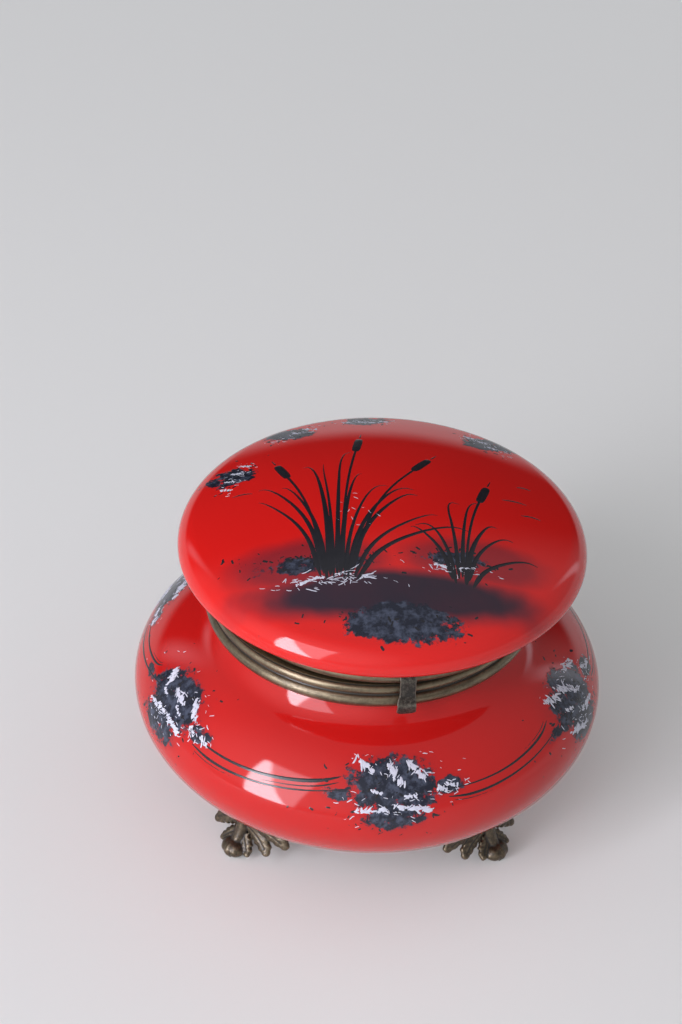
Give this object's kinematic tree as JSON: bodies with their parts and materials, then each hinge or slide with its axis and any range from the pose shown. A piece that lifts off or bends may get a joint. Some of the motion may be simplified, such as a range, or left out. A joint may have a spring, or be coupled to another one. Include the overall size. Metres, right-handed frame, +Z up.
{
  "type": "glass jewelry box",
  "caption": "Round hinged box with a squat bulbous glass bowl, a wide domed glass lid, rolled brass collars, a springy front tongue and a brass stand with cast leaf feet.",
  "frame": {"origin": "on the table under the middle of the bowl and its feet", "axes": "+Z up; -Y to the front, where the tongue is; +Y to the hinge; +X to the right"},
  "size_m": [0.13, 0.13, 0.0964],
  "materials": {
    "red_glass": "opaque blown glass, fire-polished, with painted and enamelled sprays",
    "collar_brass": "rolled brass sheet, dark brown-green patina, rubbed on the beads",
    "cast_brass": "cast brass, dull and dark, lighter on the raised leaves",
    "plaster": "set plaster, hidden between glass and brass"
  },
  "bodies": {
    "base": {"bowl_glass": "red_glass", "bowl_neck_plaster": "plaster", "bowl_collar": "collar_brass", "foot_ring": "cast_brass", "foot_ring_plaster": "plaster", "foot_front_right": "cast_brass", "foot_back_right": "cast_brass", "foot_back_left": "cast_brass", "foot_front_left": "cast_brass", "hinge_leaf_bowl": "collar_brass", "hinge_pin": "collar_brass"},
    "lid": {"lid_glass": "red_glass", "lid_plaster": "plaster", "lid_collar": "collar_brass", "hinge_leaf_lid": "collar_brass"},
    "clasp": {"clasp_tongue": "collar_brass"}
  },
  "joints": [
    {"name": "lid_hinge", "type": "hinge", "parent": "base", "child": "lid", "pos_m": [0, 0.0476, 0.06892], "axis": [-1, 0, 0], "range_deg": [0, 100]},
    {"name": "clasp_flex", "type": "hinge", "parent": "lid", "child": "clasp", "pos_m": [0.00205, -0.0437, 0.07587], "axis": [-1, 0, 0], "range_deg": [0, 8], "stiffness_Nm_per_rad": 0.05}
  ]
}
